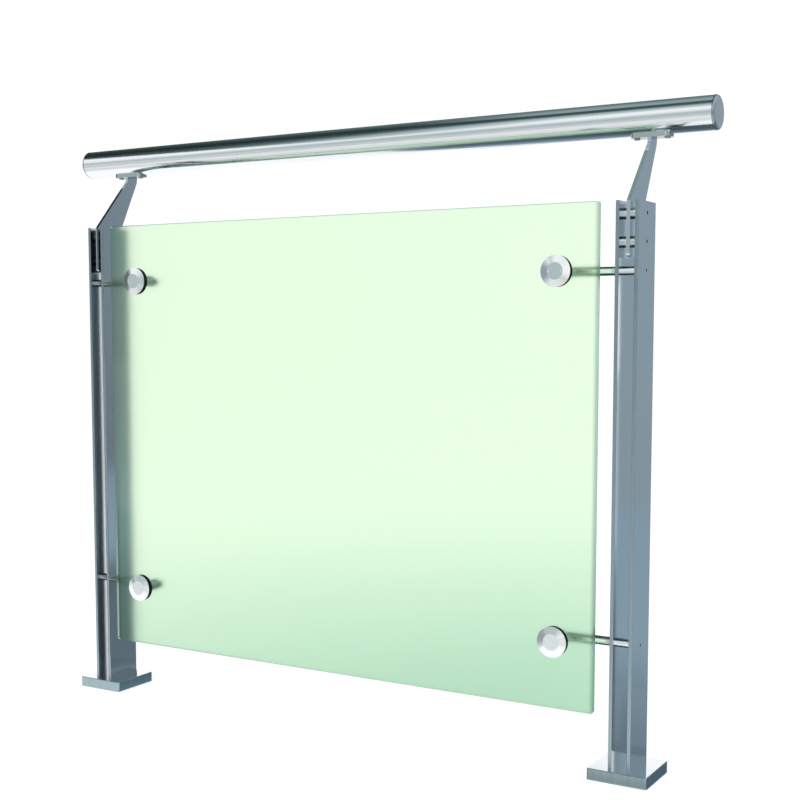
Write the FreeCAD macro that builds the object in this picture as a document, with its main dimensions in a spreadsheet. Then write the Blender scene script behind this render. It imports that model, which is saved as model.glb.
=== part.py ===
import FreeCAD
import Part
import Sketcher
import math
import os
import re

# Glass balustrade panel: twin-bar posts on base plates, a frosted glass panel held by four point
# fixings on rods, and a round handrail on swept-back brackets behind the posts.
# X runs along the handrail, Y away from the glass side, Z up. The origin lies on the floor, midway
# between the posts and at the middle of the bars' depth.

# Driving sizes in millimetres.
sizes = {
    "glass_width": 993,
    "glass_height": 800,
    "glass_thickness": 10,
    "glass_corner": 4,
    "glass_arris": 0.8,
    "glass_floor_gap": 104,
    "glass_side_gap": 25,
    "glass_proud": 6,
    "bar_thickness": 6,
    "bar_depth": 75,
    "bar_gap": 25,
    "bar_edge_radius": 0.8,
    "plate_width": 100,
    "plate_depth": 100,
    "plate_thickness": 19,
    "plate_corner": 5,
    "plate_chamfer": 1,
    "anchor_hole": 10,
    "anchor_depth": 14,
    "anchor_edge": 15,
    "rail_diameter": 54,
    "rail_wall": 2,
    "rail_overhang": 106.5,
    "rail_setback": 67.5,
    "rail_rise": 135.5,
    "end_flange": 5,
    "end_spigot": 18,
    "end_spigot_wall": 3,
    "end_round": 4,
    "saddle_length": 65,
    "saddle_width": 28,
    "saddle_thickness": 4,
    "saddle_corner": 8,
    "saddle_screw": 5,
    "saddle_screw_spacing": 50,
    "saddle_screw_grip": 5,
    "saddle_head": 10,
    "saddle_head_height": 2.2,
    "saddle_head_round": 0.9,
    "saddle_socket": 3,
    "saddle_socket_depth": 1.3,
    "blade_thickness": 6,
    "blade_depth": 65,
    "blade_corner": 6,
    "blade_tail": 24,
    "neck_width": 27,
    "neck_height": 8,
    "neck_bend": 25,
    "bolt_diameter": 8,
    "bolt_head": 16,
    "bolt_socket": 5,
    "bolt_socket_depth": 3,
    "bolt_drop": 17.5,
    "bolt_pitch": 43.5,
    "sleeve_diameter": 18,
    "rod_diameter": 14,
    "rod_overhang": 10,
    "rod_chamfer": 0.8,
    "rod_blade_gap": 13,
    "rod_screw": 6,
    "rod_screw_head": 12,
    "rod_screw_socket": 4,
    "rod_screw_socket_depth": 2,
    "rod_screw_grip": 14,
    "rod_tap_runout": 4,
    "fixing_side_inset": 66.5,
    "fixing_lower_inset": 110,
    "cap_diameter": 50,
    "cap_face": 27,
    "cap_rim": 0.5,
    "cap_bevel": 2.5,
    "pin_hole": 3.2,
    "pin_hole_depth": 2,
    "pin_hole_spacing": 20,
    "stud_diameter": 6,
    "stud_past_rod_axis": 4,
    "stud_chamfer": 0.8,
    "front_gasket_thickness": 9.5,
    "front_gasket_diameter": 49,
    "rear_gasket_thickness": 1.5,
    "bush_diameter": 14,
    "standoff_diameter": 22,
    "standoff_seat": 4,
    "hole_clearance": 0.2,
}

# Places worked out from the driving sizes.
post_top = "(glass_floor_gap + glass_height)"
post_x = "(glass_width / 2 + glass_side_gap + bar_thickness + bar_gap / 2)"
glass_back = "(glass_thickness - bar_depth / 2 - glass_proud)"
rail_radius = "(rail_diameter / 2)"
rail_z = f"({post_top} + rail_rise)"
saddle_base_z = f"({rail_z} - {rail_radius} - saddle_thickness)"
blade_insert = "(bolt_drop + bolt_pitch + blade_tail)"
fixing_x = "(glass_width / 2 - fixing_side_inset)"
fixing_upper_z = f"({post_top} - {blade_insert} - rod_blade_gap - rod_diameter / 2)"
fixing_lower_z = "(glass_floor_gap + fixing_lower_inset)"
rod_length = f"({post_x} + bar_gap / 2 - {fixing_x} + rod_overhang)"
cap_back = f"({glass_back} - glass_thickness - front_gasket_thickness)"
standoff_front = f"({glass_back} + rear_gasket_thickness)"
standoff_rear = "(standoff_seat - rod_diameter / 2)"

sides = {"left": -1, "right": 1}
levels = {"upper": fixing_upper_z, "lower": fixing_lower_z}

# Directions that a turned piece's own Z axis can be laid along.
toward_front = FreeCAD.Rotation(FreeCAD.Vector(1, 0, 0), 90)
downward = FreeCAD.Rotation(FreeCAD.Vector(1, 0, 0), 180)
half_turn_upright = FreeCAD.Rotation(FreeCAD.Vector(0, 0, 1), 180)
half_turn_level = FreeCAD.Rotation(FreeCAD.Vector(0, 1, 0), 180)
outward = {side: FreeCAD.Rotation(FreeCAD.Vector(0, 1, 0), 90 * sign) for side, sign in sides.items()}

doc = FreeCAD.newDocument("GlassBalustradePanel")
sheet = doc.addObject("Spreadsheet::Sheet", "Sizes")
for row, (alias, number) in enumerate(sizes.items(), start=1):
    sheet.set(f"A{row}", alias)
    sheet.set(f"B{row}", str(number))
    sheet.setAlias(f"B{row}", alias)
doc.recompute()

nodes = []


# Writes the sheet's name before each size in an expression.
def in_sheet(text):
    return re.sub(r"[a-z_]+", lambda word: "Sizes." * (word.group() in sizes) + word.group(), text)


def value(text):
    return float(sheet.evalExpression(in_sheet(text)))


def bind(target, name, text):
    target.setExpression(name, in_sheet(text))


def new_body(label, x="0", y="0", z="0", rotation=FreeCAD.Rotation()):
    body = doc.addObject("PartDesign::Body", label)
    body.Label = label
    body.Placement = FreeCAD.Placement(FreeCAD.Vector(value(x), value(y), value(z)), rotation)
    bind(body, "Placement.Base.x", x)
    bind(body, "Placement.Base.y", y)
    bind(body, "Placement.Base.z", z)
    return body


def new_sketch(body, name, plane, offset="0"):
    sketch = body.newObject("Sketcher::SketchObject", f"{body.Name}_{name}")
    support = next(feature for feature in body.Origin.OriginFeatures if feature.Role == plane)
    sketch.AttachmentSupport = [(support, "")]
    sketch.MapMode = "FlatFace"
    bind(sketch, "AttachmentOffset.Base.z", offset)
    return sketch


# Holds a point of the sketch at x, y from the sketch's origin.
def hold(sketch, geometry, point, x, y):
    for kind, text in (("DistanceX", x), ("DistanceY", y)):
        index = sketch.addConstraint(Sketcher.Constraint(kind, -1, 1, geometry, point, value(text)))
        bind(sketch, f"Constraints[{index}]", text)


def polygon(sketch, corners):
    count = len(corners)
    points = [FreeCAD.Vector(value(x), value(y), 0) for x, y in corners]
    first = sketch.GeometryCount
    for i in range(count):
        sketch.addGeometry(Part.LineSegment(points[i], points[(i + 1) % count]))
    for i, (x, y) in enumerate(corners):
        before = first + (i - 1) % count
        sketch.addConstraint(Sketcher.Constraint("Coincident", before, 2, first + i, 1))
        hold(sketch, first + i, 1, x, y)


def rectangle(sketch, width, height, base="0"):
    polygon(
        sketch,
        [
            (f"-{width} / 2", base),
            (f"{width} / 2", base),
            (f"{width} / 2", f"{base} + {height}"),
            (f"-{width} / 2", f"{base} + {height}"),
        ],
    )


def circle(sketch, diameter, x="0", y="0"):
    centre = FreeCAD.Vector(value(x), value(y), 0)
    curve = sketch.addGeometry(Part.Circle(centre, FreeCAD.Vector(0, 0, 1), value(diameter) / 2))
    hold(sketch, curve, 3, x, y)
    index = sketch.addConstraint(Sketcher.Constraint("Diameter", curve, value(diameter)))
    bind(sketch, f"Constraints[{index}]", diameter)


def hexagon(sketch, across_flats):
    corner = f"{across_flats} / sqrt(3)"
    turns = [math.radians(60 * i) for i in range(6)]
    unit = [(math.cos(turn), math.sin(turn)) for turn in turns]
    polygon(sketch, [(f"{corner} * {x:.9f}", f"{corner} * {y:.9f}") for x, y in unit])


def pad(body, sketch, length, side="One side"):
    feature = body.newObject("PartDesign::Pad", f"{body.Name}_pad")
    feature.Profile = sketch
    feature.SideType = side
    bind(feature, "Length", length)
    doc.recompute()
    return feature


# Cuts a sketch through the body, or to a depth on the side away from the sketch's normal.
def pocket(body, sketch, depth=None, reversed_cut=False, side="One side"):
    before = body.Shape.Volume
    feature = body.newObject("PartDesign::Pocket", f"{sketch.Name}_cut")
    feature.Profile = sketch
    feature.SideType = side
    feature.Reversed = reversed_cut
    if depth is None:
        feature.Type = "ThroughAll"
    else:
        bind(feature, "Length", depth)
    doc.recompute()
    assert body.Shape.Volume < before, f"{feature.Name} cuts nothing"
    return feature


def countersink(body, sketch, diameter, head):
    before = body.Shape.Volume
    feature = body.newObject("PartDesign::Hole", f"{sketch.Name}_hole")
    feature.Profile = sketch
    feature.DepthType = "ThroughAll"
    feature.HoleCutType = "Countersink"
    feature.HoleCutCustomValues = True
    feature.HoleCutCountersinkAngle = 90
    bind(feature, "Diameter", f"{diameter} + hole_clearance")
    bind(feature, "HoleCutDiameter", head)
    doc.recompute()
    assert body.Shape.Volume < before, f"{feature.Name} cuts nothing"
    return feature


def revolve(body, sketch):
    feature = body.newObject("PartDesign::Revolution", f"{body.Name}_turn")
    feature.Profile = sketch
    feature.ReferenceAxis = (sketch, ["V_Axis"])
    doc.recompute()
    return feature


# Names the straight edges along one axis whose middle passes the test.
def edges_along(feature, axis, test=lambda middle: True):
    names = []
    for number, edge in enumerate(feature.Shape.Edges, start=1):
        straight = isinstance(edge.Curve, Part.Line)
        if straight and abs(abs(edge.Curve.Direction.dot(axis)) - 1) < 1e-6 and test(edge.CenterOfMass):
            names.append(f"Edge{number}")
    return names


# Names the edges that bound the flat faces whose normal lies along one direction.
def edges_round_faces(feature, normal):
    wanted = []
    for face in feature.Shape.Faces:
        if isinstance(face.Surface, Part.Plane) and face.normalAt(0, 0).dot(normal) > 1 - 1e-6:
            wanted.extend(face.OuterWire.Edges)
    edges = feature.Shape.Edges
    return [f"Edge{i + 1}" for i, edge in enumerate(edges) if any(edge.isSame(other) for other in wanted)]


def fillet(body, feature, edges, radius):
    dressed = body.newObject("PartDesign::Fillet", f"{body.Name}_fillet")
    dressed.Base = (feature, edges)
    bind(dressed, "Radius", radius)
    doc.recompute()
    return dressed


def chamfer(body, feature, edges, size):
    dressed = body.newObject("PartDesign::Chamfer", f"{body.Name}_chamfer")
    dressed.Base = (feature, edges)
    bind(dressed, "Size", size)
    doc.recompute()
    return dressed


# Collects identical small pieces under one name.
def group(label, members):
    compound = doc.addObject("Part::Compound", label)
    compound.Label = label
    compound.Links = members
    nodes.append(compound)


axis_x = FreeCAD.Vector(1, 0, 0)
axis_y = FreeCAD.Vector(0, 1, 0)
axis_z = FreeCAD.Vector(0, 0, 1)


def ring(label, outer, inner, length, plane, x, y, z):
    body = new_body(label, x, y, z)
    sketch = new_sketch(body, "section", plane)
    circle(sketch, outer)
    circle(sketch, inner)
    pad(body, sketch, length)
    return body


# Countersunk screw with a hexagon socket. Its head lies at the body's origin and its shank runs down.
def countersunk_screw(label, diameter, head, length, socket, socket_depth, x, z, rotation):
    body = new_body(label, x, "0", z, rotation)
    profile = new_sketch(body, "profile", "XZ_Plane")
    polygon(
        profile,
        [
            ("0", "0"),
            (f"{head} / 2", "0"),
            (f"{diameter} / 2", f"({diameter} - {head}) / 2"),
            (f"{diameter} / 2", f"-{length}"),
            ("0", f"-{length}"),
        ],
    )
    revolve(body, profile)
    recess = new_sketch(body, "socket", "XY_Plane")
    hexagon(recess, socket)
    pocket(body, recess, socket_depth)
    return body


# Base plate with a clean top: its anchor holes are blind, tapped from below.
def base_plate(side, sign):
    body = new_body(f"base_plate_{side}", f"{sign} * {post_x}")
    outline = new_sketch(body, "outline", "XY_Plane")
    rectangle(outline, "plate_width", "plate_depth", "-plate_depth / 2")
    slab = pad(body, outline, "plate_thickness")
    rounded = fillet(body, slab, edges_along(slab, axis_z), "plate_corner")
    chamfer(body, rounded, edges_round_faces(rounded, axis_z), "plate_chamfer")
    anchors = new_sketch(body, "anchors", "XY_Plane")
    for across in sides.values():
        for along in sides.values():
            circle(
                anchors,
                "anchor_hole",
                f"{across} * (plate_width / 2 - anchor_edge)",
                f"{along} * (plate_depth / 2 - anchor_edge)",
            )
    pocket(body, anchors, "anchor_depth", reversed_cut=True)
    nodes.append(body)


# A flat bar whose face toward the gap lies in its own YZ plane.
def plain_bar(label, x, rotation):
    body = new_body(label, x, "0", "plate_thickness", rotation)
    section = new_sketch(body, "section", "XY_Plane")
    polygon(
        section,
        [
            ("0", "-bar_depth / 2"),
            ("bar_thickness", "-bar_depth / 2"),
            ("bar_thickness", "bar_depth / 2"),
            ("0", "bar_depth / 2"),
        ],
    )
    bar = pad(body, section, f"{post_top} - plate_thickness")
    fillet(body, bar, edges_along(bar, axis_z), "bar_edge_radius")
    nodes.append(body)
    return body


bolt_heights = [f"({post_top} - bolt_drop - {row} * bolt_pitch)" for row in range(2)]


def post_bars(side, sign):
    turn = {1: FreeCAD.Rotation(), -1: half_turn_upright}
    outer = plain_bar(f"post_outer_bar_{side}", f"{sign} * ({post_x} + bar_gap / 2)", turn[sign])
    bolts = new_sketch(outer, "bolts", "YZ_Plane", "bar_thickness")
    for height in bolt_heights:
        circle(bolts, "bolt_diameter", "0", f"{height} - plate_thickness")
    countersink(outer, bolts, "bolt_diameter", "bolt_head")
    screws = new_sketch(outer, "screws", "YZ_Plane", "bar_thickness")
    for height in levels.values():
        circle(screws, "rod_screw", "0", f"{height} - plate_thickness")
    countersink(outer, screws, "rod_screw", "rod_screw_head")

    inner = plain_bar(f"post_inner_bar_{side}", f"{sign} * ({post_x} - bar_gap / 2)", turn[-sign])
    holes = new_sketch(inner, "holes", "YZ_Plane")
    for height in bolt_heights:
        circle(holes, "bolt_diameter + hole_clearance", "0", f"{height} - plate_thickness")
    for height in levels.values():
        circle(holes, "rod_diameter + hole_clearance", "0", f"{height} - plate_thickness")
    pocket(inner, holes, reversed_cut=True)


# Swept-back blade: a tail between the bars, a slanted shoulder and a short neck under the saddle.
def handrail_bracket(side, sign):
    body = new_body(f"handrail_bracket_{side}", f"{sign} * {post_x}", "0", post_top)
    rise = f"({saddle_base_z} - {post_top})"
    outline = new_sketch(body, "outline", "YZ_Plane")
    polygon(
        outline,
        [
            ("-blade_depth / 2", f"-{blade_insert}"),
            ("blade_depth / 2", f"-{blade_insert}"),
            ("blade_depth / 2", "0"),
            ("rail_setback + neck_width / 2", f"{rise} - neck_height"),
            ("rail_setback + neck_width / 2", rise),
            ("rail_setback - neck_width / 2", rise),
            ("rail_setback - neck_width / 2", f"{rise} - neck_height"),
            ("-blade_depth / 2", "0"),
        ],
    )
    blade = pad(body, outline, "blade_thickness", "Symmetric")
    foot = -value(blade_insert)
    bend_y = value("rail_setback + neck_width / 2")
    bend_z = value(f"{rise} - neck_height")
    near = 0.01
    tail_edges = edges_along(blade, axis_x, lambda middle: abs(middle.z - foot) < near)
    rounded = fillet(body, blade, tail_edges, "blade_corner")
    bend_edges = edges_along(
        rounded, axis_x, lambda middle: abs(middle.z - bend_z) < near and abs(middle.y - bend_y) < near
    )
    fillet(body, rounded, bend_edges, "neck_bend")
    holes = new_sketch(body, "holes", "YZ_Plane")
    for height in bolt_heights:
        circle(holes, "bolt_diameter + hole_clearance", "0", f"{height} - {post_top}")
    pocket(body, holes, side="Symmetric")
    nodes.append(body)


def bracket_fasteners(side, sign):
    bolts = []
    sleeves = []
    for row, height in enumerate(bolt_heights, start=1):
        head_x = f"{sign} * ({post_x} + bar_gap / 2 + bar_thickness)"
        bolts.append(
            countersunk_screw(
                f"bracket_bolt_{side}_{row}",
                "bolt_diameter",
                "bolt_head",
                "(bar_gap + 2 * bar_thickness)",
                "bolt_socket",
                "bolt_socket_depth",
                head_x,
                height,
                outward[side],
            )
        )
        starts = {"near": "-bar_gap / 2", "far": "+ blade_thickness / 2"}
        for place, start in starts.items():
            sleeves.append(
                ring(
                    f"bracket_sleeve_{side}_{row}_{place}",
                    "sleeve_diameter",
                    "bolt_diameter + hole_clearance",
                    "(bar_gap - blade_thickness) / 2",
                    "YZ_Plane",
                    f"{sign} * {post_x} {start}",
                    "0",
                    height,
                )
            )
    group(f"bracket_bolts_{side}", bolts)
    group(f"bracket_sleeves_{side}", sleeves)


def handrail_tube():
    body = new_body("handrail_tube", "0", "rail_setback", rail_z)
    section = new_sketch(body, "section", "YZ_Plane")
    circle(section, "rail_diameter")
    circle(section, "rail_diameter - 2 * rail_wall")
    pad(body, section, f"2 * ({post_x} + rail_overhang - end_flange)", "Symmetric")
    holes = new_sketch(body, "screw_holes", "XY_Plane")
    for sign in sides.values():
        for along in sides.values():
            circle(
                holes,
                "saddle_screw + hole_clearance",
                f"{sign} * {post_x} + {along} * saddle_screw_spacing / 2",
            )
    pocket(body, holes)
    nodes.append(body)


# End cap: a flange as wide as the tube, rounded at its rim, and a hollow spigot inside the tube.
def end_cap(side, sign):
    body = new_body(
        f"handrail_end_cap_{side}",
        f"{sign} * ({post_x} + rail_overhang - end_flange)",
        "rail_setback",
        rail_z,
        outward[side],
    )
    spigot_radius = f"({rail_radius} - rail_wall - hole_clearance / 2)"
    profile = new_sketch(body, "profile", "XZ_Plane")
    polygon(
        profile,
        [
            ("0", "0"),
            (f"{spigot_radius} - end_spigot_wall", "0"),
            (f"{spigot_radius} - end_spigot_wall", "-end_spigot"),
            (spigot_radius, "-end_spigot"),
            (spigot_radius, "0"),
            (rail_radius, "0"),
            (rail_radius, "end_flange"),
            ("0", "end_flange"),
        ],
    )
    turned = revolve(body, profile)
    fillet(body, turned, edges_round_faces(turned, axis_z), "end_round")
    nodes.append(body)


# Saddle: flat below and hollowed above to the tube's radius, with rounded corners in plan.
def saddle(side, sign):
    body = new_body(f"handrail_saddle_{side}", f"{sign} * {post_x}", "rail_setback", rail_z)
    base = f"-({rail_radius} + saddle_thickness)"
    shoulder = f"-sqrt({rail_radius} ^ 2 - saddle_width ^ 2 / 4)"
    section = new_sketch(body, "section", "YZ_Plane")
    corners = [
        ("-saddle_width / 2", shoulder),
        ("-saddle_width / 2", base),
        ("saddle_width / 2", base),
        ("saddle_width / 2", shoulder),
    ]
    points = [FreeCAD.Vector(value(x), value(y), 0) for x, y in corners]
    crown = FreeCAD.Vector(0, -value(rail_radius), 0)
    for start, end in zip(points, points[1:]):
        section.addGeometry(Part.LineSegment(start, end))
    hollow = section.addGeometry(Part.Arc(points[0], crown, points[3]))
    for line in range(2):
        section.addConstraint(Sketcher.Constraint("Coincident", line, 2, line + 1, 1))
    section.addConstraint(Sketcher.Constraint("Coincident", hollow, 1, 0, 1))
    section.addConstraint(Sketcher.Constraint("Coincident", hollow, 2, 2, 2))
    section.addConstraint(Sketcher.Constraint("Coincident", hollow, 3, -1, 1))
    hold(section, 1, 1, *corners[1])
    hold(section, 1, 2, *corners[2])
    section.addConstraint(Sketcher.Constraint("Vertical", 0))
    section.addConstraint(Sketcher.Constraint("Vertical", 2))
    radius = section.addConstraint(Sketcher.Constraint("Radius", hollow, value(rail_radius)))
    bind(section, f"Constraints[{radius}]", rail_radius)
    block = pad(body, section, "saddle_length", "Symmetric")
    fillet(body, block, edges_along(block, axis_z), "saddle_corner")
    holes = new_sketch(body, "holes", "XY_Plane")
    for along in sides.values():
        circle(holes, "saddle_screw + hole_clearance", f"{along} * saddle_screw_spacing / 2")
    pocket(body, holes)
    nodes.append(body)


# Pan-head screw that points up through the saddle and the tube's wall.
def saddle_screws(side, sign):
    screws = []
    for row, along in enumerate(sides.values(), start=1):
        body = new_body(
            f"saddle_screw_{side}_{row}",
            f"{sign} * {post_x} + {along} * saddle_screw_spacing / 2",
            "rail_setback",
            saddle_base_z,
            downward,
        )
        tip = "-(saddle_thickness + rail_wall + saddle_screw_grip)"
        profile = new_sketch(body, "profile", "XZ_Plane")
        polygon(
            profile,
            [
                ("0", tip),
                ("saddle_screw / 2", tip),
                ("saddle_screw / 2", "0"),
                ("saddle_head / 2", "0"),
                ("saddle_head / 2", "saddle_head_height - saddle_head_round"),
                ("saddle_head / 2 - saddle_head_round", "saddle_head_height"),
                ("0", "saddle_head_height"),
            ],
        )
        revolve(body, profile)
        recess = new_sketch(body, "socket", "XY_Plane", "saddle_head_height")
        hexagon(recess, "saddle_socket")
        pocket(body, recess, "saddle_socket_depth")
        screws.append(body)
    group(f"saddle_screws_{side}", screws)


def glass_panel():
    body = new_body("glass_panel", "0", glass_back, "glass_floor_gap")
    outline = new_sketch(body, "outline", "XZ_Plane")
    rectangle(outline, "glass_width", "glass_height")
    sheet_glass = pad(body, outline, "glass_thickness")
    rounded = fillet(body, sheet_glass, edges_along(sheet_glass, axis_y), "glass_corner")
    rims = edges_round_faces(rounded, axis_y) + edges_round_faces(rounded, -axis_y)
    chamfer(body, rounded, rims, "glass_arris")
    holes = new_sketch(body, "holes", "XZ_Plane")
    bore = "bush_diameter + hole_clearance"
    for sign in sides.values():
        for height in levels.values():
            circle(holes, bore, f"{sign} * {fixing_x}", f"{height} - glass_floor_gap")
    pocket(body, holes, reversed_cut=True)
    nodes.append(body)


# Rod from the outer bar's inner face to behind the glass, tapped at its foot and across its far end.
def glass_rod(level, side, sign, height):
    turn = {1: half_turn_level, -1: FreeCAD.Rotation()}
    foot_x = f"{sign} * ({post_x} + bar_gap / 2)"
    body = new_body(f"glass_rod_{level}_{side}", foot_x, "0", height, turn[sign])
    section = new_sketch(body, "section", "YZ_Plane")
    circle(section, "rod_diameter")
    bar = pad(body, section, rod_length)
    chamfer(body, bar, edges_round_faces(bar, axis_x), "rod_chamfer")
    tap = new_sketch(body, "tap", "YZ_Plane")
    circle(tap, "rod_screw + hole_clearance")
    pocket(body, tap, "rod_screw_grip + rod_tap_runout", reversed_cut=True)
    cross = new_sketch(body, "cross", "XZ_Plane")
    circle(cross, "stud_diameter + hole_clearance", f"{rod_length} - rod_overhang")
    pocket(body, cross, side="Symmetric")
    nodes.append(body)


def rod_screws(side, sign):
    screws = [
        countersunk_screw(
            f"rod_screw_{level}_{side}",
            "rod_screw",
            "rod_screw_head",
            "(bar_thickness + rod_screw_grip)",
            "rod_screw_socket",
            "rod_screw_socket_depth",
            f"{sign} * ({post_x} + bar_gap / 2 + bar_thickness)",
            height,
            outward[side],
        )
        for level, height in levels.items()
    ]
    group(f"rod_screws_{side}", screws)


# Front cap with a bevelled face, two pin holes for its key and a stud that runs back into the rod.
def glass_cap(name, x, z):
    body = new_body(f"glass_cap_{name}", x, cap_back, z, toward_front)
    face = "(cap_rim + cap_bevel)"
    tip = f"({cap_back} - stud_past_rod_axis)"
    profile = new_sketch(body, "profile", "XZ_Plane")
    polygon(
        profile,
        [
            ("0", face),
            ("cap_face / 2", face),
            ("cap_diameter / 2", "cap_rim"),
            ("cap_diameter / 2", "0"),
            ("stud_diameter / 2", "0"),
            ("stud_diameter / 2", f"{tip} + stud_chamfer"),
            ("stud_diameter / 2 - stud_chamfer", tip),
            ("0", tip),
        ],
    )
    revolve(body, profile)
    pins = new_sketch(body, "pins", "XY_Plane", face)
    for across in sides.values():
        circle(pins, "pin_hole", f"{across} * pin_hole_spacing / 2")
    pocket(body, pins, "pin_hole_depth")
    nodes.append(body)


# Standoff sleeve round the stud, with its rear end hollowed to seat on the rod.
def standoff(name, x, z):
    body = new_body(f"standoff_{name}", x, "0", z, toward_front)
    section = new_sketch(body, "section", "XY_Plane", f"-{standoff_rear}")
    circle(section, "standoff_diameter")
    circle(section, "stud_diameter + hole_clearance")
    pad(body, section, f"{standoff_rear} - {standoff_front}")
    seat = new_sketch(body, "seat", "YZ_Plane")
    circle(seat, "rod_diameter")
    pocket(body, seat, side="Symmetric")
    nodes.append(body)


def fixing_rings(name, x, z):
    bore = "stud_diameter + hole_clearance"
    glass_front = f"({glass_back} - glass_thickness)"
    rings = [
        (f"front_gasket_{name}", "front_gasket_diameter", "front_gasket_thickness", glass_front),
        (f"glass_bush_{name}", "bush_diameter", "glass_thickness", glass_back),
        (f"rear_gasket_{name}", "standoff_diameter", "rear_gasket_thickness", standoff_front),
    ]
    for label, outer, length, back in rings:
        nodes.append(ring(label, outer, bore, length, "XZ_Plane", x, back, z))


handrail_tube()
glass_panel()
for side, sign in sides.items():
    base_plate(side, sign)
    post_bars(side, sign)
    handrail_bracket(side, sign)
    bracket_fasteners(side, sign)
    end_cap(side, sign)
    saddle(side, sign)
    saddle_screws(side, sign)
    rod_screws(side, sign)
    for level, height in levels.items():
        fixing = f"{level}_{side}"
        glass_rod(level, side, sign, height)
        glass_cap(fixing, f"{sign} * {fixing_x}", height)
        fixing_rings(fixing, f"{sign} * {fixing_x}", height)
        standoff(fixing, f"{sign} * {fixing_x}", height)
doc.recompute()

for item in doc.Objects:
    assert not {"Invalid", "Error"} & set(item.State), f"{item.Label} failed: {item.State}"
for node in nodes:
    assert not node.Shape.isNull() and node.Shape.isValid(), f"{node.Label} has no valid shape"

os.makedirs("parts", exist_ok=True)
for node in nodes:
    node.Shape.exportStep(f"parts/{node.Label}.step")
    print(f"{node.Label}: {len(node.Shape.Solids)} solid, {node.Shape.Volume:.1f} mm3")
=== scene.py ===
import math

import bmesh
import bpy
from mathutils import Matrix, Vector


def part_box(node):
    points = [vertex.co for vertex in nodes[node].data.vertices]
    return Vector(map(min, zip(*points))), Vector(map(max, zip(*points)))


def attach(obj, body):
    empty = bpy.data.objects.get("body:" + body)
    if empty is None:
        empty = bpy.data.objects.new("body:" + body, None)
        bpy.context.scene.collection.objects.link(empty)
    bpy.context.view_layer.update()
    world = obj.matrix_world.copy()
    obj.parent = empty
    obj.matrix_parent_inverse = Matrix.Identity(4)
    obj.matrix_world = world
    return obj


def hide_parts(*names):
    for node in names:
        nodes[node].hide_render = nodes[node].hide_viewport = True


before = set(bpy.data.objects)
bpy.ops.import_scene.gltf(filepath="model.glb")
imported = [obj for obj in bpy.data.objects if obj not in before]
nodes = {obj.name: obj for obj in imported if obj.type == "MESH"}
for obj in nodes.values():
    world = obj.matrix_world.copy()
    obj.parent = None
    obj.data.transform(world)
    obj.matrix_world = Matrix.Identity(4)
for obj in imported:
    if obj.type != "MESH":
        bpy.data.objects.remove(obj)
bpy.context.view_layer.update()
print("frame loaded,", len(nodes), "nodes")


# small helpers for node trees

def newMaterial(name):
    mat = bpy.data.materials.new(name)
    mat.use_nodes = True
    mat.node_tree.nodes.clear()
    return mat, mat.node_tree


def addNode(tree, kind, place, **settings):
    node = tree.nodes.new(kind)
    node.location = place
    for key, value in settings.items():
        setattr(node, key, value)
    return node


def principled(tree, **sockets):
    out = addNode(tree, "ShaderNodeOutputMaterial", (900, 0))
    shader = addNode(tree, "ShaderNodeBsdfPrincipled", (600, 0))
    for name, value in sockets.items():
        shader.inputs[name.replace("_", " ")].default_value = value
    tree.links.new(shader.outputs["BSDF"], out.inputs["Surface"])
    return shader


allWays = (1.0, 1.0, 1.0)
noiseRoughness = 0.55


def objectNoise(tree, place, stretch, scale, detail=4.0):
    coords = addNode(tree, "ShaderNodeTexCoord", (place[0] - 400, place[1]))
    mapping = addNode(tree, "ShaderNodeMapping", (place[0] - 200, place[1]))
    mapping.inputs["Scale"].default_value = stretch
    noise = addNode(tree, "ShaderNodeTexNoise", place)
    noise.inputs["Scale"].default_value = scale
    noise.inputs["Detail"].default_value = detail
    noise.inputs["Roughness"].default_value = noiseRoughness
    tree.links.new(coords.outputs["Object"], mapping.inputs["Vector"])
    tree.links.new(mapping.outputs["Vector"], noise.inputs["Vector"])
    return noise.outputs["Fac"]


# the source's range, unless it is given, is the one that a noise mostly keeps to
def mapRange(tree, place, source, low, high, fromLow=0.3, fromHigh=0.7):
    node = addNode(tree, "ShaderNodeMapRange", place)
    node.inputs["From Min"].default_value = fromLow
    node.inputs["From Max"].default_value = fromHigh
    node.inputs["To Min"].default_value = low
    node.inputs["To Max"].default_value = high
    tree.links.new(source, node.inputs["Value"])
    return node.outputs["Result"]


def mixColour(tree, place, factor, colourA, colourB):
    node = addNode(tree, "ShaderNodeMix", place, data_type="RGBA")
    tree.links.new(factor, node.inputs["Factor"])
    for socket, colour in (("A", colourA), ("B", colourB)):
        if isinstance(colour, tuple):
            node.inputs[socket].default_value = (*colour, 1.0)
        else:
            tree.links.new(colour, node.inputs[socket])
    return node.outputs["Result"]


def mixNumber(tree, place, factor, low, high):
    node = addNode(tree, "ShaderNodeMix", place)
    tree.links.new(factor, node.inputs["Factor"])
    tree.links.new(low, node.inputs["A"])
    tree.links.new(high, node.inputs["B"])
    return node.outputs["Result"]


# 0 below the first limit and 1 above the second, for a normal's or a place's size along an axis
def sizeAlong(tree, place, coordinate, axis, limits):
    coords = addNode(tree, "ShaderNodeTexCoord", (place[0] - 600, place[1]))
    split = addNode(tree, "ShaderNodeSeparateXYZ", (place[0] - 400, place[1]))
    size = addNode(tree, "ShaderNodeMath", (place[0] - 200, place[1]), operation="ABSOLUTE")
    tree.links.new(coords.outputs[coordinate], split.inputs["Vector"])
    tree.links.new(split.outputs[axis], size.inputs[0])
    return mapRange(tree, place, size.outputs[0], 0.0, 1.0, *limits)


def bump(tree, place, height, strength, distance):
    node = addNode(tree, "ShaderNodeBump", place)
    node.inputs["Strength"].default_value = strength
    node.inputs["Distance"].default_value = distance
    tree.links.new(height, node.inputs["Height"])
    return node.outputs["Normal"]


# polished stainless steel: a fine grain runs the way that the piece was drawn or ground

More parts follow.
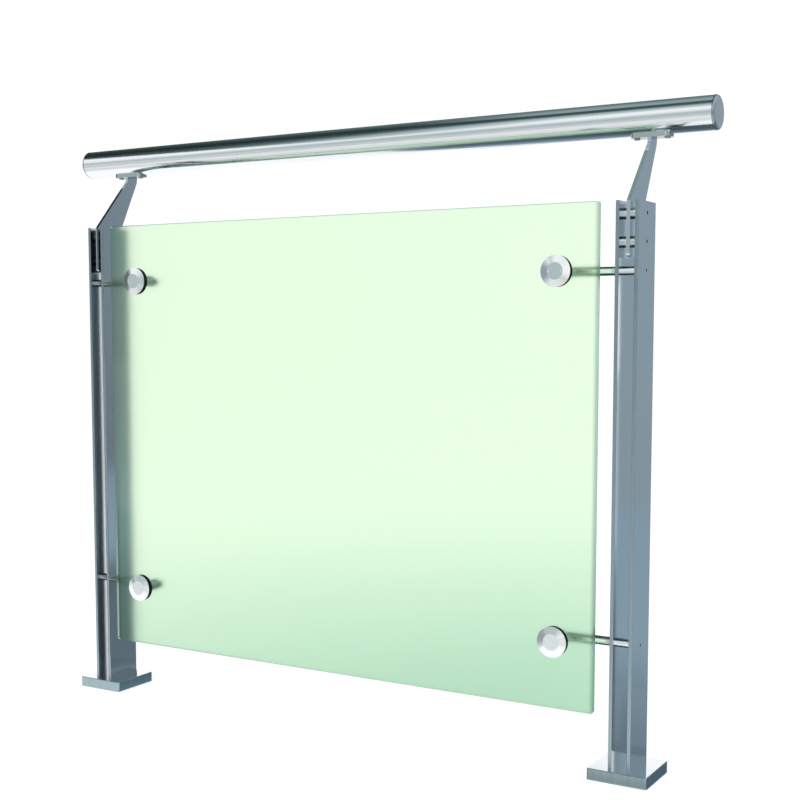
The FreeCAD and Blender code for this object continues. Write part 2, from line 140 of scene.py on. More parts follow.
steelFinish = {
    "light": (0.87, 0.89, 0.91),
    "dark": (0.81, 0.84, 0.87),
    "cloudScale": 9.0,
    "cloudDetail": 2.0,
    "grainScale": 900.0,
    "grainStretch": 0.012,
    "bumpStrength": 0.03,
    "bumpDistance": 0.0001,
    "faceLimits": (0.9, 0.99),
}


def steel(name, rough, grainAxis=None, edge=None,
          dark=steelFinish["dark"], light=steelFinish["light"]):
    mat, tree = newMaterial(name)
    shader = principled(tree, Metallic=1.0)
    stretch = list(allWays)
    if grainAxis is not None:
        stretch[grainAxis] = steelFinish["grainStretch"]
    grain = objectNoise(tree, (-400, 0), stretch, steelFinish["grainScale"])
    cloud = objectNoise(tree, (-400, 400), allWays,
                        steelFinish["cloudScale"], steelFinish["cloudDetail"])
    colour = mixColour(tree, (0, 400), cloud, dark, light)
    roughness = mapRange(tree, (0, 0), grain, *rough)
    if edge:
        # what faces another way than the broad faces gets its own colour and roughness; on most
        # pieces that colour is painted shade, darker than the broad faces
        limits = edge.get("faceLimits", steelFinish["faceLimits"])
        onFace = sizeAlong(tree, (-300, -600), "Normal", edge["faceAxis"], limits)
        streak = objectNoise(tree, (-400, 800), edge["stretch"], edge["scale"])
        edgeColour = mixColour(tree, (0, 800), streak, edge["dark"], edge["light"])
        edgeRough = mapRange(tree, (0, -300), streak, *edge["rough"])
        colour = mixColour(tree, (250, 500), onFace, edgeColour, colour)
        roughness = mixNumber(tree, (250, -100), onFace, edgeRough, roughness)
    normal = bump(tree, (300, -300), grain,
                  steelFinish["bumpStrength"], steelFinish["bumpDistance"])
    tree.links.new(colour, shader.inputs["Base Color"])
    tree.links.new(roughness, shader.inputs["Roughness"])
    tree.links.new(normal, shader.inputs["Normal"])
    return mat


# painted shade: the narrow faces of the bars, their front and back edges and tops, get a dark
# colour that stands in for the dark they mirror
barEdgePaintedShade = {
    "faceAxis": "X",
    "stretch": (1.0, 1.0, 0.04),
    "scale": 500.0,
    "dark": (0.27, 0.35, 0.39),
    "light": (0.35, 0.43, 0.47),
    "rough": (0.22, 0.34),
}
# painted shade: the narrow faces of the bracket blades get a darker colour than their broad
# faces
bracketEdgePaintedShade = {
    **barEdgePaintedShade,
    "dark": (0.58, 0.64, 0.67),
    "light": (0.66, 0.72, 0.75),
    "rough": (0.10, 0.16),
}
# painted shade: the rim of the rail's end cap gets a darker colour than its end face
endCapRimPaintedShade = {
    **barEdgePaintedShade,
    "stretch": allWays,
    "dark": (0.30, 0.36, 0.39),
    "light": (0.36, 0.42, 0.45),
}
# painted shade: the sides of the base plates get a darker colour, streaked along the grain
plateSidesPaintedShade = {
    "faceAxis": "Z",
    "stretch": (1.0, 1.0, 0.10),
    "scale": 160.0,
    "dark": (0.28, 0.36, 0.395),
    "light": (0.47, 0.59, 0.64),
    "rough": (0.30, 0.45),
}
capBevel = {
    "faceAxis": "Y",
    "faceLimits": (0.985, 0.998),
    "stretch": allWays,
    "scale": 300.0,
    "dark": (0.86, 0.89, 0.90),
    "light": (0.91, 0.93, 0.94),
    "rough": (0.15, 0.20),
}
# painted reflection: above and below on the rods and sleeves a dark colour stands in for the
# dark they mirror, leaving a light band between two dark ones
rodPaintedBands = {
    "faceAxis": "Y",
    "faceLimits": (0.80, 0.94),
    "stretch": (0.02, 1.0, 1.0),
    "scale": 500.0,
    "dark": (0.13, 0.18, 0.165),
    "light": (0.18, 0.24, 0.22),
    "rough": (0.14, 0.20),
}
# painted shade: in each bolt the socket's walls and the rim of the head, which face another way
# than the head's top, get a near black colour
boltSocketPaintedShade = {
    "faceAxis": "X",
    "stretch": allWays,
    "scale": 900.0,
    "dark": (0.08, 0.09, 0.10),
    "light": (0.14, 0.16, 0.17),
    "rough": (0.30, 0.45),
}


glassFinish = {
    "face": (0.805, 0.985, 0.764),
    "faceDeep": (0.78, 0.97, 0.744),
    "faceLimits": (0.9, 0.99),
    "faceRough": 0.33,
    "etchScale": 700.0,
    "etchDetail": 3.0,
    "edge": (0.24, 0.46, 0.34),
    "edgeRough": 0.12,
    "paintedEdgeShade": (0.33, 0.39, 0.37),   # painted shade: a darker strip along the upright edges
    "paintedEdgeShadeWidth": 0.007,
    "ior": 1.3,   # low, since the etched faces mirror little
}


def satinGlass():
    look = glassFinish
    mat, tree = newMaterial("satin_green_glass")
    shader = principled(tree, IOR=look["ior"], Transmission_Weight=1.0)
    onFace = sizeAlong(tree, (-300, -300), "Normal", "Y", look["faceLimits"])
    etch = objectNoise(tree, (-400, 300), allWays, look["etchScale"], look["etchDetail"])
    faceColour = mixColour(tree, (0, 300), etch, look["faceDeep"], look["face"])
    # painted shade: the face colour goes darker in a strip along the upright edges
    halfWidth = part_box("glass_panel")[1][0]
    edgeShadeLimits = (halfWidth - look["paintedEdgeShadeWidth"], halfWidth)
    edgeShadeStrip = sizeAlong(tree, (-200, 600), "Object", "X", edgeShadeLimits)
    faceColour = mixColour(tree, (150, 400), edgeShadeStrip, faceColour, look["paintedEdgeShade"])
    colour = mixColour(tree, (250, 200), onFace, look["edge"], faceColour)
    rough = mapRange(tree, (250, -200), onFace, look["edgeRough"], look["faceRough"], 0.0, 1.0)
    tree.links.new(colour, shader.inputs["Base Color"])
    tree.links.new(rough, shader.inputs["Roughness"])
    return mat


rubberFinish = {
    "dark": (0.006, 0.008, 0.007),
    "light": (0.014, 0.018, 0.016),
    "rough": (0.5, 0.7),
    "gloss": 0.08,
    "speckScale": 1500.0,
    "bumpStrength": 0.1,
    "bumpDistance": 0.0002,
}


def blackRubber():
    look = rubberFinish
    mat, tree = newMaterial("gasket_black_rubber")
    shader = principled(tree, Specular_IOR_Level=look["gloss"])
    speck = objectNoise(tree, (-400, 0), allWays, look["speckScale"])
    colour = mixColour(tree, (200, 200), speck, look["dark"], look["light"])
    rough = mapRange(tree, (0, 0), speck, *look["rough"])
    normal = bump(tree, (300, -300), speck, look["bumpStrength"], look["bumpDistance"])
    tree.links.new(colour, shader.inputs["Base Color"])
    tree.links.new(rough, shader.inputs["Roughness"])
    tree.links.new(normal, shader.inputs["Normal"])
    return mat


nylonFinish = {
    "dark": (0.66, 0.66, 0.62),
    "light": (0.78, 0.78, 0.74),
    "rough": (0.35, 0.5),
    "cloudScale": 400.0,
}


def bushNylon():
    look = nylonFinish
    mat, tree = newMaterial("bush_natural_nylon")
    shader = principled(tree)
    cloud = objectNoise(tree, (-400, 0), allWays, look["cloudScale"])
    colour = mixColour(tree, (200, 200), cloud, look["dark"], look["light"])
    rough = mapRange(tree, (0, 0), cloud, *look["rough"])
    tree.links.new(colour, shader.inputs["Base Color"])
    tree.links.new(rough, shader.inputs["Roughness"])
    return mat


def dress(prefixes, material):
    for name, node in nodes.items():
        if name.startswith(prefixes):
            node.material_slots[0].material = material


alongX, alongZ = 0, 2
steels = {
    "rail_steel_polished_along_x": {
        "on": ("handrail_tube",), "grainAxis": alongX, "rough": (0.11, 0.16)},
    "rod_steel_polished_along_x": {
        "on": ("glass_rod", "bracket_sleeves"), "grainAxis": alongX, "rough": (0.11, 0.16),
        "edge": rodPaintedBands},
    "bar_steel_polished_along_z": {
        "on": ("post_",), "grainAxis": alongZ, "rough": (0.09, 0.14), "edge": barEdgePaintedShade},
    "bracket_steel_polished_along_z": {
        "on": ("handrail_bracket",), "grainAxis": alongZ, "rough": (0.09, 0.14),
        "edge": bracketEdgePaintedShade},
    # painted light: the tops of the base plates are lighter than the other steel
    "plate_steel_ground_painted_light_and_shade": {
        "on": ("base_plate",), "rough": (0.08, 0.12), "edge": plateSidesPaintedShade,
        "dark": (0.90, 0.92, 0.93), "light": (0.94, 0.95, 0.96)},
    "cap_steel_turned": {
        "on": ("glass_cap",), "rough": (0.12, 0.18), "edge": capBevel,
        "dark": (0.82, 0.87, 0.90), "light": (0.86, 0.91, 0.93)},
    # painted shade: the standoffs behind the glass get a darker green steel colour that stands
    # in for how the glass tints and shades them
    "fitting_steel_painted_green_shade": {
        "on": ("standoff",), "rough": (0.12, 0.18),
        "dark": (0.70, 0.80, 0.75), "light": (0.77, 0.87, 0.82)},
    # painted shade: the saddles, under the rail, get a darker steel colour than the rail
    "saddle_steel_painted_shade": {
        "on": ("handrail_saddle",), "rough": (0.16, 0.24),
        "dark": (0.46, 0.51, 0.52), "light": (0.54, 0.59, 0.60)},
    "end_cap_steel_satin": {
        "on": ("handrail_end_cap",), "rough": (0.28, 0.36), "edge": endCapRimPaintedShade},
}
for name, finish in steels.items():
    dress(finish.pop("on"), steel(name, **finish))
dress(("glass_panel",), satinGlass())
dress(("front_gasket", "rear_gasket"), blackRubber())
dress(("glass_bush",), bushNylon())
print("materials on", len(nodes), "nodes")


# screws: one turned screw with a hexagon socket, set out in rows by a node tree

boltFinish = {"rough": (0.12, 0.18), "edge": boltSocketPaintedShade}
# painted shade: the screws under the saddles get a darker steel colour
panScrewPaintedShade = {
    "rough": (0.2, 0.3), "dark": (0.34, 0.37, 0.39), "light": (0.44, 0.47, 0.49),
}
countersunkScrew = {
    "bracket_bolts": {
        "head": 0.008, "shank": 0.004, "length": 0.037, "socket": 0.005, "socketDepth": 0.003},
    "rod_screws": {
        "head": 0.006, "shank": 0.003, "length": 0.020, "socket": 0.004, "socketDepth": 0.002},
}
panScrew = {
    "saddle_screws": {
        "head": 0.005, "headHeight": 0.0022, "headRound": 0.0009, "shank": 0.0025,
        "length": 0.011, "socket": 0.003, "socketDepth": 0.0013},
}
screwsInRow = 2
screwSides = 48
roundSteps = 6
sharpAngle = math.radians(35)


# each ring is (outline, radius or half across flats, height), from the tip to the socket's floor
def turnedMesh(name, rings):
    shape = bmesh.new()
    loops = []
    for outline, size, height in rings:
        loop = []
        for i in range(screwSides):
            turn = 2 * math.pi * i / screwSides
            reach = size
            if outline == "hexagon":
                reach = size / math.cos(turn % (math.pi / 3) - math.pi / 6)
            spot = (reach * math.cos(turn), reach * math.sin(turn), height)
            loop.append(shape.verts.new(spot))
        loops.append(loop)
    for lower, upper in zip(loops, loops[1:]):
        for i in range(screwSides):
            j = (i + 1) % screwSides
            shape.faces.new((lower[i], lower[j], upper[j], upper[i]))
    shape.faces.new(list(reversed(loops[0])))
    shape.faces.new(loops[-1])
    bmesh.ops.recalc_face_normals(shape, faces=shape.faces)
    mesh = bpy.data.meshes.new(name)
    shape.to_mesh(mesh)
    shape.free()
    mesh.shade_smooth()
    mesh.set_sharp_from_angle(angle=sharpAngle)
    return mesh


def socketRings(size, top):
    lip = 0.0001
    return [
        ("hexagon", size["socket"] / 2 + lip, top),
        ("hexagon", size["socket"] / 2, top - lip),
        ("hexagon", size["socket"] / 2, top - size["socketDepth"]),
    ]


def countersunkMesh(name, size):
    rim = 0.00015
    tip = 0.0006
    cone = size["head"] - size["shank"]
    rings = [
        ("round", size["shank"] - tip, -size["length"]),
        ("round", size["shank"], -size["length"] + tip),
        ("round", size["shank"], -cone),
        ("round", size["head"], -rim),
        ("round", size["head"] - rim, 0.0),
    ]
    return turnedMesh(name, rings + socketRings(size, 0.0))


def panMesh(name, size):
    tip = 0.0005
    rings = [
        ("round", size["shank"] - tip, -size["length"]),
        ("round", size["shank"], -size["length"] + tip),
        ("round", size["shank"], 0.0),
        ("round", size["head"], 0.0),
    ]
    for i in range(roundSteps + 1):
        turn = math.radians(90 * i / roundSteps)
        shrink = size["headRound"] * (1 - math.cos(turn))
        rise = size["headHeight"] - size["headRound"] * (1 - math.sin(turn))
        rings.append(("round", size["head"] - shrink, rise))
    return turnedMesh(name, rings + socketRings(size, size["headHeight"]))


def screwRowTree():
    tree = bpy.data.node_groups.new("screw_row", "GeometryNodeTree")
    face = tree.interface
    sockets = {}
    for label, kind in (
        ("Screw", "Geometry"), ("Count", "Int"), ("First Seat", "Vector"),
        ("Step", "Vector"), ("Turn", "Vector"), ("Finish", "Material"),
    ):
        socket = face.new_socket(label, in_out="INPUT", socket_type=f"NodeSocket{kind}")
        sockets[label] = socket.identifier
    face.new_socket("Row", in_out="OUTPUT", socket_type="NodeSocketGeometry")
    given = addNode(tree, "NodeGroupInput", (-600, 0))
    line = addNode(tree, "GeometryNodeMeshLine", (-400, 200), mode="OFFSET")
    turn = addNode(tree, "FunctionNodeEulerToRotation", (-400, -200))
    place = addNode(tree, "GeometryNodeInstanceOnPoints", (-150, 0))
    real = addNode(tree, "GeometryNodeRealizeInstances", (50, 0))
    paint = addNode(tree, "GeometryNodeSetMaterial", (250, 0))
    out = addNode(tree, "NodeGroupOutput", (450, 0))
    for source, target in (
        (given.outputs["Count"], line.inputs["Count"]),
        (given.outputs["First Seat"], line.inputs["Start Location"]),
        (given.outputs["Step"], line.inputs["Offset"]),
        (given.outputs["Turn"], turn.inputs["Euler"]),
        (line.outputs["Mesh"], place.inputs["Points"]),
        (given.outputs["Screw"], place.inputs["Instance"]),
        (turn.outputs["Rotation"], place.inputs["Rotation"]),
        (place.outputs["Instances"], real.inputs["Geometry"]),
        (real.outputs["Geometry"], paint.inputs["Geometry"]),
        (given.outputs["Finish"], paint.inputs["Material"]),
        (paint.outputs["Geometry"], out.inputs["Row"]),
    ):
        tree.links.new(source, target)
    return tree, sockets


def screwRow(node, mesh, first, last, turn, finish):
    piece = bpy.data.objects.new(f"{node}_turned", mesh)
    bpy.context.scene.collection.objects.link(piece)
    row = piece.modifiers.new("row", "NODES")
    row.node_group = rowTree
    row[rowInputs["Count"]] = screwsInRow
    row[rowInputs["First Seat"]] = first
    row[rowInputs["Step"]] = last - first
    row[rowInputs["Turn"]] = turn
    row[rowInputs["Finish"]] = finish
    bpy.context.view_layer.update()
    evaluated = piece.evaluated_get(bpy.context.evaluated_depsgraph_get())
    plain = bpy.data.meshes.new_from_object(evaluated)
    piece.modifiers.remove(row)
    piece.data = plain
    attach(piece, "root")
    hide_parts(node)


def boxOf(node):
    low, high = (Vector(corner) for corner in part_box(node))
    return low, high, (low + high) / 2


rowTree, rowInputs = screwRowTree()
boltSteel = steel("bolt_steel", **boltFinish)
panScrewPaintedShadeSteel = steel("pan_screw_steel_painted_shade", **panScrewPaintedShade)
sideSigns = {"left": -1, "right": 1}
downward = Vector((math.pi, 0, 0))
for side, sign in sideSigns.items():
    outward = Vector((0, sign * math.pi / 2, 0))
    for kind, size in countersunkScrew.items():
        node = f"{kind}_{side}"
        low, high, middle = boxOf(node)
        seatX = high.x if sign > 0 else low.x
        first = Vector((seatX, middle.y, low.z + size["head"]))
        last = Vector((seatX, middle.y, high.z - size["head"]))
        screwRow(node, countersunkMesh(node, size), first, last, outward, boltSteel)
    for kind, size in panScrew.items():
        node = f"{kind}_{side}"
        low, high, middle = boxOf(node)
        seatZ = low.z + size["headHeight"]
        first = Vector((low.x + size["head"], middle.y, seatZ))
        last = Vector((high.x - size["head"], middle.y, seatZ))
        screwRow(node, panMesh(node, size), first, last, downward, panScrewPaintedShadeSteel)
print("screw rows turned")


# studio: white world, pale floor, soft lamps and toned cards that only the polished steel
# mirrors, apart from those that also show through the glass

def stageObject(name, mesh):
    piece = bpy.data.objects.new(name, mesh)
    bpy.context.scene.collection.objects.link(piece)
    return piece


floorTone = {
    "left": -6.0, "right": 6.0, "front": -6.0, "back": 6.0,
    "colour": (0.60, 0.61, 0.61),
    "glow": 0.66,
    # (y, glow) as the polished steel mirrors the floor
    "glossGlow": [(-4.0, 0.0), (-1.6, 0.42), (-1.1, 0.28), (-0.8, 0.28), (-0.45, 0.66)],
    "poolPlace": (0.40, 0.35, 0.0),   # soft shade behind the panel, as the satin glass shows it
    "poolReach": (0.30, 2.6),
    "poolGlow": (0.215, 0.37, 0.335),
}


def paleFloor():
    tone = floorTone
    mat, tree = newMaterial("floor_pale")
    out = addNode(tree, "ShaderNodeOutputMaterial", (900, 0))
    add = addNode(tree, "ShaderNodeAddShader", (700, 0))
    diffuse = addNode(tree, "ShaderNodeBsdfDiffuse", (400, 100))
    diffuse.inputs["Color"].default_value = (*tone["colour"], 1.0)
    glow = addNode(tree, "ShaderNodeEmission", (400, -100))
    # the glow is for what the camera, the steel and the glass see of the floor
    path = addNode(tree, "ShaderNodeLightPath", (-600, -100))
    seen = addNode(tree, "ShaderNodeMath", (-400, -100), operation="MAXIMUM")
    seenAll = addNode(tree, "ShaderNodeMath", (-200, -100), operation="MAXIMUM")
    tree.links.new(path.outputs["Is Camera Ray"], seen.inputs[0])
    tree.links.new(path.outputs["Is Glossy Ray"], seen.inputs[1])
    tree.links.new(seen.outputs[0], seenAll.inputs[0])
    tree.links.new(path.outputs["Is Transmission Ray"], seenAll.inputs[1])
    # the pool of shade, through the glass only
    coords = addNode(tree, "ShaderNodeTexCoord", (-800, -500))
    away = addNode(tree, "ShaderNodeVectorMath", (-600, -500), operation="DISTANCE")
    away.inputs[1].default_value = tone["poolPlace"]
    tree.links.new(coords.outputs["Object"], away.inputs[0])
    pool = mapRange(tree, (-400, -500), away.outputs["Value"], 1.0, 0.0, *tone["poolReach"])
    shade = addNode(tree, "ShaderNodeMath", (-200, -400), operation="MULTIPLY")
    tree.links.new(pool, shade.inputs[0])
    tree.links.new(path.outputs["Is Transmission Ray"], shade.inputs[1])
    # the glow towards the front, in the steel only
    split = addNode(tree, "ShaderNodeSeparateXYZ", (-600, -800))
    tree.links.new(coords.outputs["Object"], split.inputs["Vector"])
    farY = tone["glossGlow"][0][0]
    along = mapRange(tree, (-500, -800), split.outputs["Y"], 0.0, 1.0, farY, 0.0)
    mirrored = addNode(tree, "ShaderNodeValToRGB", (-300, -800))
    tree.links.new(along, mirrored.inputs["Fac"])
    stops = mirrored.color_ramp.elements
    while len(stops) < len(tone["glossGlow"]):
        stops.new(0.5)
    for stop, (y, amount) in zip(stops, tone["glossGlow"]):
        stop.position = 1 - y / farY
        stop.color = (amount, amount, amount, 1.0)
    onlyGloss = addNode(tree, "ShaderNodeMath", (-200, -600),
                        operation="SUBTRACT", use_clamp=True)
    tree.links.new(path.outputs["Is Glossy Ray"], onlyGloss.inputs[0])
    tree.links.new(path.outputs["Is Transmission Ray"], onlyGloss.inputs[1])
    plain = mixColour(tree, (0, -600), onlyGloss.outputs[0],
                      (tone["glow"],) * 3, mirrored.outputs["Color"])
    colour = mixColour(tree, (100, -400), shade.outputs[0], plain, tone["poolGlow"])
    tree.links.new(colour, glow.inputs["Color"])
    tree.links.new(seenAll.outputs[0], glow.inputs["Strength"])
    tree.links.new(diffuse.outputs[0], add.inputs[0])
    tree.links.new(glow.outputs[0], add.inputs[1])
    tree.links.new(add.outputs[0], out.inputs["Surface"])
    corners = [
        (tone["left"], tone["front"], 0.0), (tone["right"], tone["front"], 0.0),
        (tone["right"], tone["back"], 0.0), (tone["left"], tone["back"], 0.0),
    ]
    mesh = bpy.data.meshes.new("floor")
    mesh.from_pydata(corners, [], [range(len(corners))])
    mesh.materials.append(mat)
    stageObject("floor", mesh)


cardSteps = 8


def blendLine(a, b, share):
    ease = share * share * (3 - 2 * share)
    line = []
    for (placeA, toneA), (placeB, toneB) in zip(a, b):
        place = Vector(placeA).lerp(Vector(placeB), share)
        line.append((place, toneA + (toneB - toneA) * ease))
    fine = []
    for (placeA, toneA), (placeB, toneB) in zip(line, line[1:]):
        for i in range(cardSteps):
            part = i / cardSteps
            fine.append((placeA.lerp(placeB, part), toneA + (toneB - toneA) * part))
    return fine + [line[-1]]


def perColumn(value, across):
    return value if isinstance(value, tuple) else (value,) * len(across)


# the lines of a card in the plane where one axis has the value at: across gives its columns, and
# each row has a place and a tone, the same for all columns or one for each
def cardLines(axis, at, across, rows):
    lines = []
    for places, tones in rows:
        line = []
        columns = zip(across, perColumn(places, across), perColumn(tones, across))
        for column, place, tone in columns:
            spot = {"x": (at, column, place), "y": (column, at, place), "z": (column, place, at)}
            line.append((spot[axis], tone))
        lines.append(line)
    return lines


# a card with soft tones, blended from each row and column to the next
# with a fade, the tint goes as the tone nears white, the later the higher the number
def softCard(name, tint, plane, across, rows, fade=None, throughGlass=False):
    lines = cardLines(*plane, across, rows)
    grid = []
    for a, b in zip(lines, lines[1:]):
        for i in range(cardSteps):
            grid.append(blendLine(a, b, i / cardSteps))
    grid.append(blendLine(lines[-1], lines[-1], 0.0))
    width = len(grid[0])
    points = [point for row in grid for point, tone in row]
    tones = [tone for row in grid for point, tone in row]
    quads = []
    for r in range(len(grid) - 1):
        for c in range(width - 1):
            start = r * width + c
            quads.append((start, start + 1, start + width + 1, start + width))
    mesh = bpy.data.meshes.new(name)
    mesh.from_pydata(points, [], quads)
    layer = mesh.color_attributes.new("tone", "FLOAT_COLOR", "POINT")
    for spot, tone in zip(layer.data, tones):
        clear = tone ** fade if fade else 0.0
        spot.color = (*(tone * (share + (1 - share) * clear) for share in tint), 1.0)
    mat, tree = newMaterial(name)
    out = addNode(tree, "ShaderNodeOutputMaterial", (300, 0))
    glow = addNode(tree, "ShaderNodeEmission", (0, 0))
    source = addNode(tree, "ShaderNodeAttribute", (-200, 0), attribute_name="tone")
    tree.links.new(source.outputs["Color"], glow.inputs["Color"])
    tree.links.new(glow.outputs[0], out.inputs["Surface"])
    mesh.materials.append(mat)
    card = stageObject(name, mesh)
    card.visible_camera = False
    card.visible_diffuse = False
    card.visible_transmission = throughGlass
    card.visible_shadow = False


cards = {
    # behind the panel on the right, for the broad faces of the bars
    "card_back_right": {
        "tint": (0.78, 1.0, 1.14), "plane": ("y", 3.0), "across": (0.9, 1.7, 2.3, 4.5),
        "rows": [
            (0.0, (0.36, 0.33, 0.18, 0.17)),
            (0.9, (0.38, 0.345, 0.23, 0.20)),
            (2.6, (0.38, 0.345, 0.26, 0.24)),
        ],
        "throughGlass": True,
    },
    # on the floor behind the panel, for the lower ends of the bars and the rail's underside
    "card_back_floor": {
        "tint": (0.72, 1.0, 1.20), "plane": ("z", 0.001),
        "across": (-0.53, -0.40, 0.25, 0.65, 4.5),
        "rows": [
            (-0.05, (0.45, 0.15, 0.10, 0.22, 0.22)),
            (0.20, (0.28, 0.15, 0.08, 0.22, 0.22)),
            (0.9, (0.48, 0.40, 0.12, 0.36, 0.22)),
            (3.0, (0.80, 0.70, 0.30, 0.38, 0.22)),
        ],
    },
    # behind the feet of the posts, for the shade low on the faces of the bars
    "card_foot_right": {
        "tint": (0.72, 1.0, 1.18), "plane": ("y", 0.15), "across": (0.585, 0.85),
        "rows": [(0.001, 0.24), (0.10, 0.29)],
    },
    "card_foot_left": {
        "tint": (0.72, 1.0, 1.18), "plane": ("y", 0.15), "across": (-0.50, -0.15),
        "rows": [(0.001, 0.17), (0.10, 0.16)],
    },
    # a flag close behind the left post, for the dark between its bars
    "card_gap_left": {
        "tint": (0.72, 1.0, 1.1), "plane": ("y", 0.045), "across": (-0.5525, -0.5275),
        "rows": [(0.02, 0.015), (0.82, 0.07)],
    },
    # far behind on the left, for a little shade on the bars, mostly those of the left post
    "card_back_left": {
        "tint": (0.85, 1.0, 1.0), "plane": ("y", 2.2), "across": (-6.0, -2.82),
        "rows": [(0.0, 0.10), (1.3, 0.10)],
    },
    # behind the panel in the middle, for the light line between the bars of the right post
    "card_back_middle": {
        "tint": (0.82, 1.0, 1.1), "plane": ("y", 2.2), "across": (-0.9, 0.4),
        "rows": [(0.0, 0.60), (0.57, 0.60)],
    },
    "card_back_high": {
        "tint": (0.82, 1.0, 1.1), "plane": ("y", 2.2), "across": (-0.9, 0.4),
        "rows": [(0.87, 0.55), (1.6, 0.55)],
    },
    # on the floor far behind on the right, as the left edge of the glass mirrors it
    "card_glass_edge": {
        "tint": (0.8, 1.0, 0.95), "plane": ("z", 0.0005), "across": (0.8, 4.5),
        "rows": [(0.5, 0.30), (3.0, 0.30)],
        "throughGlass": True,
    },
    # at the right, for the rounded edges of the bars and of the end cap
    "card_right": {
        "tint": (0.82, 1.0, 1.17), "plane": ("x", 4.0), "across": (-1.5, 2.5),
        "rows": [(0.0, (0.60, 0.50)), (3.0, (0.60, 0.50))],
    },
    # overhead, for the dark line along the top of the rail, with soft edges
    "card_overhead": {
        "tint": (0.62, 1.0, 1.03), "plane": ("z", 3.0), "across": (-3.2, -1.0, -0.5, 1.2),
        "rows": [
            ((-6.3, -3.1, -3.0, -2.8), 1.0),
            ((-4.4, -1.7, -1.5, -1.4), 0.5),
            ((-2.1, -1.05, -1.0, -0.9), 0.1),
            ((-0.4, -0.4, -0.5, -0.5), (0.015, 0.035, 0.06, 0.1)),
            ((0.3, 0.3, 0.0, 0.0), (0.02, 0.075, 0.40, 0.45)),
            (1.5, (0.05, 0.20, 0.20, 0.20)),
            (4.5, (0.25, 0.25, 0.12, 0.10)),
        ],
        "fade": 1,
    },
    # in front, for the bars' front edges, the flats of the glass caps and the rail's middle
    "card_front": {
        "tint": (0.88, 1.0, 1.0), "plane": ("y", -4.0), "across": (-6.0, -2.4, -0.3, 0.4),
        "rows": [
            (0.0, (0.95, 0.85, 0.80, 1.05)),
            ((0.4, 0.5, 0.7, 0.7), (1.00, 0.60, 0.55, 1.05)),
            (1.0, (0.54, 0.52, 0.54, 1.05)),
            ((2.6, 2.7, 2.9, 3.0), (1.00, 1.00, 1.00, 1.05)),
        ],
        "fade": 8,
    },
    # in front on the right, for the dark rods as the left post mirrors them
    "card_front_right": {
        "tint": (0.8, 1.0, 1.05), "plane": ("y", -4.0), "across": (2.5, 6.0),
        "rows": [(0.0, 0.08), (2.0, 0.08)],
        "throughGlass": True,
    },
    # on the floor before the right base plate, for its shaded front
    "card_plate_right": {
        "tint": (0.95, 1.0, 1.0), "plane": ("z", 0.001), "across": (0.40, 0.62),
        "rows": [(-0.105, 0.56), (-0.0505, 0.56)],
    },
    # at the left, for the shaded side of the glass caps on the left
    "card_left": {
        "tint": (0.85, 1.0, 1.0), "plane": ("x", -3.0), "across": (-1.9, 0.2),
        "rows": [(0.1, 0.40), (0.5, 0.15), (1.5, 0.15), (2.2, 0.40)],
    },
}
# a flag close to each glass cap on the right, for its shaded side, and flags close before each
# left rod, for its dark bands, both with rows about the height of the fixing
capFlag = {
    "tint": (0.9, 1.0, 1.05), "plane": ("x", 0.33), "across": (-0.17, -0.06),
    "rows": [(-0.06, 0.80), (-0.02, 0.36), (0.02, 0.36), (0.06, 0.80)],
}
rodFlag = {
    "tint": (0.75, 1.0, 1.0), "plane": ("y", -0.0445),
    "rows": [(-0.15, 0.16), (0.15, 0.16)],
    "throughGlass": True,
}
rodFlagSpans = {"gap": (-0.5525, -0.535), "side": (-0.5205, -0.457)}


def raised(flag, height):
    return {**flag, "rows": [(height + rise, tone) for rise, tone in flag["rows"]]}


paleFloor()
for name, card in cards.items():
    softCard(name, **card)
for level in ("upper", "lower"):
    capHeight = boxOf(f"glass_cap_{level}_right")[2].z
    softCard(f"card_cap_right_{level}", **raised(capFlag, capHeight))
    rodHeight = boxOf(f"glass_rod_{level}_left")[2].z
    for part, span in rodFlagSpans.items():
        softCard(f"card_rod_left_{level}_{part}", across=span, **raised(rodFlag, rodHeight))

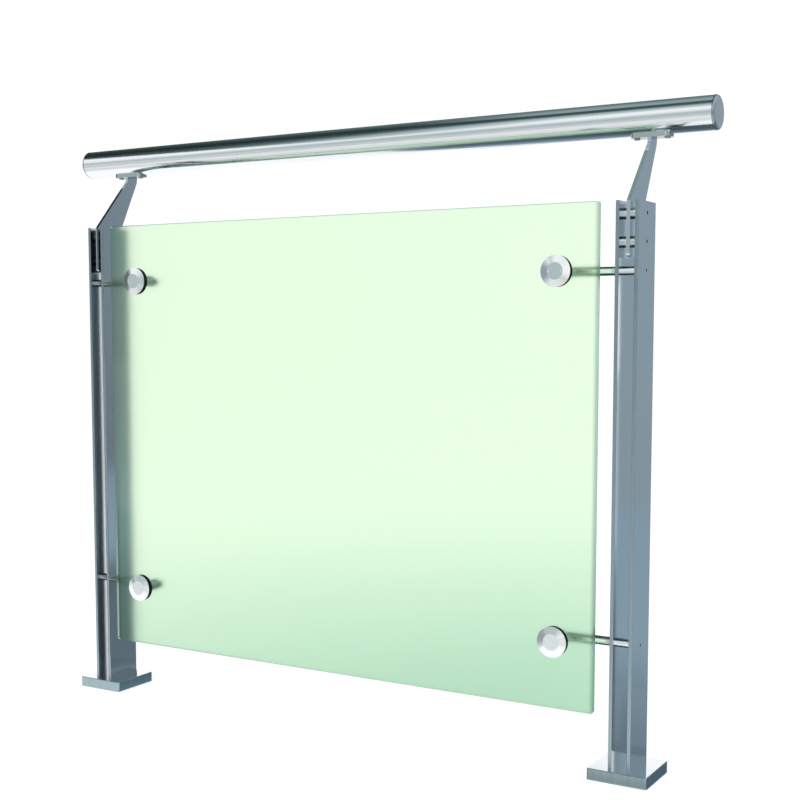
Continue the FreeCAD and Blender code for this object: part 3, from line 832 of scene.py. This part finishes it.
skyStrength = {"seen": 1.05, "lighting": 0.65}
world = bpy.data.worlds.new("studio")
bpy.context.scene.world = world
world.use_nodes = True
worldTree = world.node_tree
worldTree.nodes.clear()
worldOut = addNode(worldTree, "ShaderNodeOutputWorld", (600, 0))
sky = addNode(worldTree, "ShaderNodeBackground", (400, 0))
sky.inputs["Color"].default_value = (1.0, 1.0, 1.0, 1.0)
skyPath = addNode(worldTree, "ShaderNodeLightPath", (0, 0))
strength = mapRange(worldTree, (200, 0), skyPath.outputs["Is Diffuse Ray"],
                    skyStrength["seen"], skyStrength["lighting"], 0.0, 1.0)
worldTree.links.new(strength, sky.inputs["Strength"])
worldTree.links.new(sky.outputs[0], worldOut.inputs["Surface"])

lamps = {
    "key": {"place": (1.6, -2.6, 3.2), "size": 2.4, "power": 32.0},
    "fill": {"place": (-2.6, -1.8, 2.6), "size": 2.4, "power": 14.0},
}
aim = Vector((0.0, 0.0, 0.5))
for name, lamp in lamps.items():
    data = bpy.data.lights.new(name, "AREA")
    data.size = lamp["size"]
    data.energy = lamp["power"]
    light = bpy.data.objects.new(name, data)
    light.location = lamp["place"]
    light.rotation_euler = (aim - light.location).to_track_quat("-Z", "Y").to_euler()
    light.visible_glossy = False
    light.visible_transmission = False
    bpy.context.scene.collection.objects.link(light)
print("studio ready")


# camera at the photo's angle
viewCamera = {
    "place": (1.2629292, -1.9442956, 0.7092754),
    "turn": 30.6801,
    "downTilt": 4.9836,
    "lens": 59.141,
    "shift": (0.006547, 0.05454),
}
cameraData = bpy.data.cameras.new("camera")
cameraData.lens = viewCamera["lens"]
cameraData.shift_x, cameraData.shift_y = viewCamera["shift"]
camera = bpy.data.objects.new("camera", cameraData)
camera.location = viewCamera["place"]
upTilt = math.radians(90.0 - viewCamera["downTilt"])
camera.rotation_euler = (upTilt, 0.0, math.radians(viewCamera["turn"]))
bpy.context.scene.collection.objects.link(camera)
bpy.context.scene.camera = camera
bpy.context.scene.view_settings.view_transform = "Standard"
